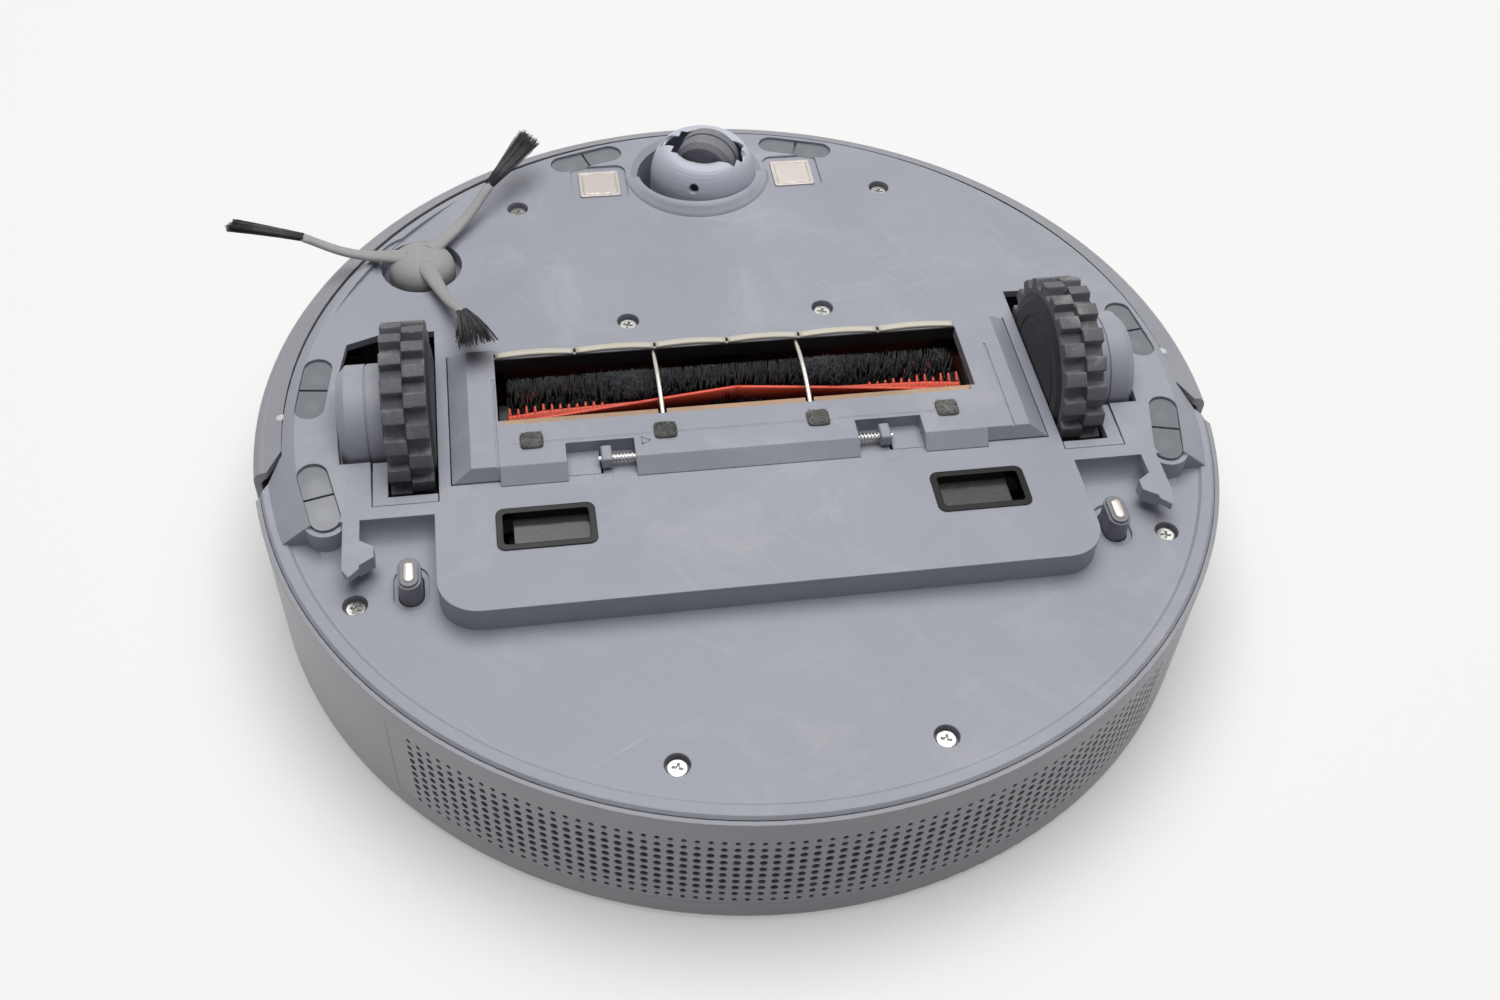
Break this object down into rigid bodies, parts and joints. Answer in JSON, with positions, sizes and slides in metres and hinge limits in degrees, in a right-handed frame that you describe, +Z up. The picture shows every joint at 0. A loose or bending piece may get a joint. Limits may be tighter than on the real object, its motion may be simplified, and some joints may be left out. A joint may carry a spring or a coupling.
{
  "type": "robot vacuum",
  "caption": "Round robot vacuum with sprung drive wheels, caster, roller brush under a lift-off cover, side brush, sliding bumper, exhaust grille and bin lid.",
  "frame": {"origin": "on the ground under the drive wheels' axle, midway between the tyres, with both wheels hanging free", "axes": "+Z up through the flat top, -Y to the front (bumper and caster), +X to the robot's left seen from behind its grille, towards the wheel on the side without the side brush"},
  "size_m": [0.3643, 0.35, 0.101],
  "materials": {
    "plate_plastic": "satin grey plastic with fine texture",
    "shell_plastic": "warm grey satin plastic",
    "lid_plastic": "satin grey plastic",
    "screw_steel": "plated steel",
    "gasket_black": "glossy black",
    "contact_metal": "nickel plated",
    "lens_clear": "clear, smooth",
    "circuit_board": "green solder mask",
    "battery_cells": "wrapped metal cells",
    "black_plastic": "matt black",
    "smoky_plastic": "smoky translucent",
    "filter_white": "pleated paper",
    "dark_grey_plastic": "matt dark grey",
    "motor_steel": "turned steel can",
    "spring_steel": "drawn wire",
    "pin_steel": "ground steel",
    "tread_rubber": "worn matt rubber",
    "caster_grey": "smooth light grey",
    "caster_tread": "worn rubber",
    "blade_rubber": "orange red rubber",
    "bristle_black": "nylon bristle",
    "bearing_orange": "moulded end cap",
    "strip_silver": "satin beige strip",
    "lip_amber": "amber rubber",
    "felt": "brushed felt",
    "brush_grey": "soft grey rubber",
    "bristle_grey": "nylon strands",
    "ir_window": "dark red black gloss",
    "button_white": "light gloss"
  },
  "bodies": {
    "body": {"chassis": "plate_plastic", "rear_shell": "shell_plastic", "top_cover": "shell_plastic", "case_screws": "screw_steel", "window_seals": "gasket_black", "charge_contacts": "contact_metal", "cliff_lenses": "lens_clear", "main_board": "circuit_board", "battery": "battery_cells", "fan_housing": "black_plastic", "dust_bin": "smoky_plastic", "bin_flap": "dark_grey_plastic", "bin_filter": "filter_white", "brush_housing": "dark_grey_plastic", "brush_motor": "dark_grey_plastic", "side_brush_motor": "motor_steel", "camera_window": "ir_window", "left_wheel_frame": "dark_grey_plastic", "right_wheel_frame": "dark_grey_plastic", "left_pivot_pin": "pin_steel", "right_pivot_pin": "pin_steel", "left_arm_spring": "spring_steel", "right_arm_spring": "spring_steel", "roller_ends": "bearing_orange", "bumper_springs": "spring_steel"},
    "left_arm": {"left_gearbox": "plate_plastic", "left_drive_motor": "motor_steel"},
    "right_arm": {"right_gearbox": "plate_plastic", "right_drive_motor": "motor_steel"},
    "left_wheel": {"left_drive_shaft": "pin_steel", "left_hub": "black_plastic", "left_tyre": "tread_rubber"},
    "right_wheel": {"right_drive_shaft": "pin_steel", "right_hub": "black_plastic", "right_tyre": "tread_rubber"},
    "caster": {"caster_housing": "caster_grey", "caster_stem": "pin_steel", "caster_axle": "pin_steel"},
    "caster_roller": {"caster_wheel": "caster_tread"},
    "roller": {"roller_core": "black_plastic", "roller_blades": "blade_rubber", "roller_bristles": "bristle_black"},
    "brush_cover": {"brush_cover": "plate_plastic", "latch_rods": "pin_steel", "guard_wires": "spring_steel", "front_strip": "strip_silver", "rear_scraper": "lip_amber", "felt_pads": "felt"},
    "left_latch": {"left_latch": "plate_plastic"},
    "right_latch": {"right_latch": "plate_plastic"},
    "side_brush": {"side_brush_hub": "brush_grey", "side_bristles": "bristle_grey"},
    "bumper": {"bumper": "shell_plastic", "bumper_window": "ir_window"},
    "lid": {"lid": "lid_plastic"},
    "power_button": {"power_button": "button_white"},
    "home_button": {"home_button": "button_white"},
    "left_tank_contact": {"left_tank_contact": "dark_grey_plastic"},
    "right_tank_contact": {"right_tank_contact": "dark_grey_plastic"},
    "fan": {"impeller": "dark_grey_plastic"}
  },
  "joints": [
    {"name": "left_suspension", "type": "hinge", "parent": "body", "child": "left_arm", "pos_m": [-0.137, 0.03, 0.055], "axis": [-1, 0, 0], "range_deg": [0, 36], "stiffness_Nm_per_rad": 0.3, "springref_deg": -27.5, "deforming": ["left_arm_spring"]},
    {"name": "left_wheel_spin", "type": "hinge", "parent": "left_arm", "child": "left_wheel", "pos_m": [-0.119, 0, 0.034], "axis": [-1, 0, 0], "continuous": true},
    {"name": "right_suspension", "type": "hinge", "parent": "body", "child": "right_arm", "pos_m": [0.137, 0.03, 0.055], "axis": [-1, 0, 0], "range_deg": [0, 36], "stiffness_Nm_per_rad": 0.3, "springref_deg": -27.5, "deforming": ["right_arm_spring"]},
    {"name": "right_wheel_spin", "type": "hinge", "parent": "right_arm", "child": "right_wheel", "pos_m": [0.119, 0, 0.034], "axis": [-1, 0, 0], "continuous": true},
    {"name": "caster_swivel", "type": "hinge", "parent": "body", "child": "caster", "pos_m": [0.0005, -0.132, 0.04], "axis": [0, 0, 1], "continuous": true},
    {"name": "caster_roll", "type": "hinge", "parent": "caster", "child": "caster_roller", "pos_m": [0.00462, -0.1302, 0.026], "axis": [0.4003, -0.9164, 0], "continuous": true},
    {"name": "brush_roll", "type": "hinge", "parent": "body", "child": "roller", "pos_m": [-0.0023, -0.0045, 0.048], "axis": [1, 0, 0], "continuous": true},
    {"name": "side_brush_spin", "type": "hinge", "parent": "body", "child": "side_brush", "pos_m": [-0.114, -0.084, 0.04], "axis": [0, 0, 1], "continuous": true, "deforming": ["side_bristles"]},
    {"name": "fan_spin", "type": "hinge", "parent": "body", "child": "fan", "pos_m": [0, 0.14, 0.0694], "axis": [0, 1, 0], "continuous": true},
    {"name": "bumper_slide", "type": "slide", "parent": "body", "child": "bumper", "axis": [0, 1, 0], "range_m": [0, 0.003], "stiffness_N_per_m": 400, "springref_m": -0.001, "deforming": ["bumper_springs"]},
    {"name": "cover_lift", "type": "slide", "parent": "body", "child": "brush_cover", "axis": [0, 0, -1], "range_m": [0, 0.03]},
    {"name": "left_latch_slide", "type": "slide", "parent": "brush_cover", "child": "left_latch", "axis": [-1, 0, 0], "range_m": [0, 0.004]},
    {"name": "right_latch_slide", "type": "slide", "parent": "brush_cover", "child": "right_latch", "axis": [1, 0, 0], "range_m": [0, 0.004]},
    {"name": "lid_hinge", "type": "hinge", "parent": "body", "child": "lid", "pos_m": [0, 0.0379, 0.0996], "axis": [1, 0, 0], "range_deg": [0, 80]},
    {"name": "power_press", "type": "slide", "parent": "body", "child": "power_button", "axis": [0, 0, -1], "range_m": [0, 0.0012], "stiffness_N_per_m": 600, "springref_m": -0.0003},
    {"name": "home_press", "type": "slide", "parent": "body", "child": "home_button", "axis": [0, 0, -1], "range_m": [0, 0.0012], "stiffness_N_per_m": 600, "springref_m": -0.0003},
    {"name": "left_contact_press", "type": "slide", "parent": "body", "child": "left_tank_contact", "axis": [0, 0, 1], "range_m": [0, 0.003], "stiffness_N_per_m": 500, "springref_m": -0.001},
    {"name": "right_contact_press", "type": "slide", "parent": "body", "child": "right_tank_contact", "axis": [0, 0, 1], "range_m": [0, 0.003], "stiffness_N_per_m": 500, "springref_m": -0.001}
  ]
}
